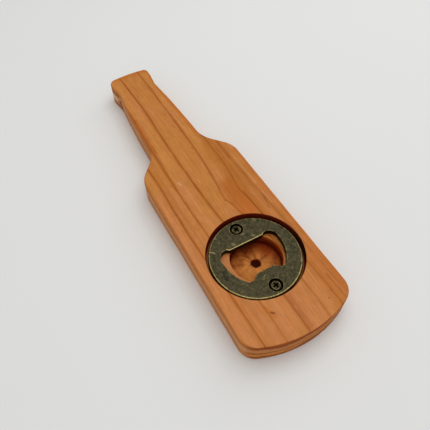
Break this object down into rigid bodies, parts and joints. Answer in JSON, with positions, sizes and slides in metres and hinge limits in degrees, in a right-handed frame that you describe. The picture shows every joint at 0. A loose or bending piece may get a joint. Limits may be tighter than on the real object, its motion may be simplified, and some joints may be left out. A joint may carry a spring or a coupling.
{
  "type": "bottle opener",
  "caption": "Hand opener: a flat softwood board sawn to the outline of a beer bottle, with a round antique brass cap-lifting plate screwed into a recess near its base.",
  "frame": {"origin": "on the surface that the board lies on, under the middle of its length and width", "axes": "+Y along the board to the lip of the bottle shape, +Z out of the face that holds the opener plate, +X to the right when that face is seen with the lip at the top"},
  "size_m": [0.05, 0.1804, 0.0122],
  "materials": {
    "oiled_softwood": "satin",
    "antique_brass": "satin",
    "blackened_brass": "satin"
  },
  "bodies": {
    "root": {"bottle_body": "oiled_softwood", "opener_plate": "antique_brass", "plate_screw_upper": "blackened_brass", "plate_screw_lower": "blackened_brass"}
  },
  "joints": []
}
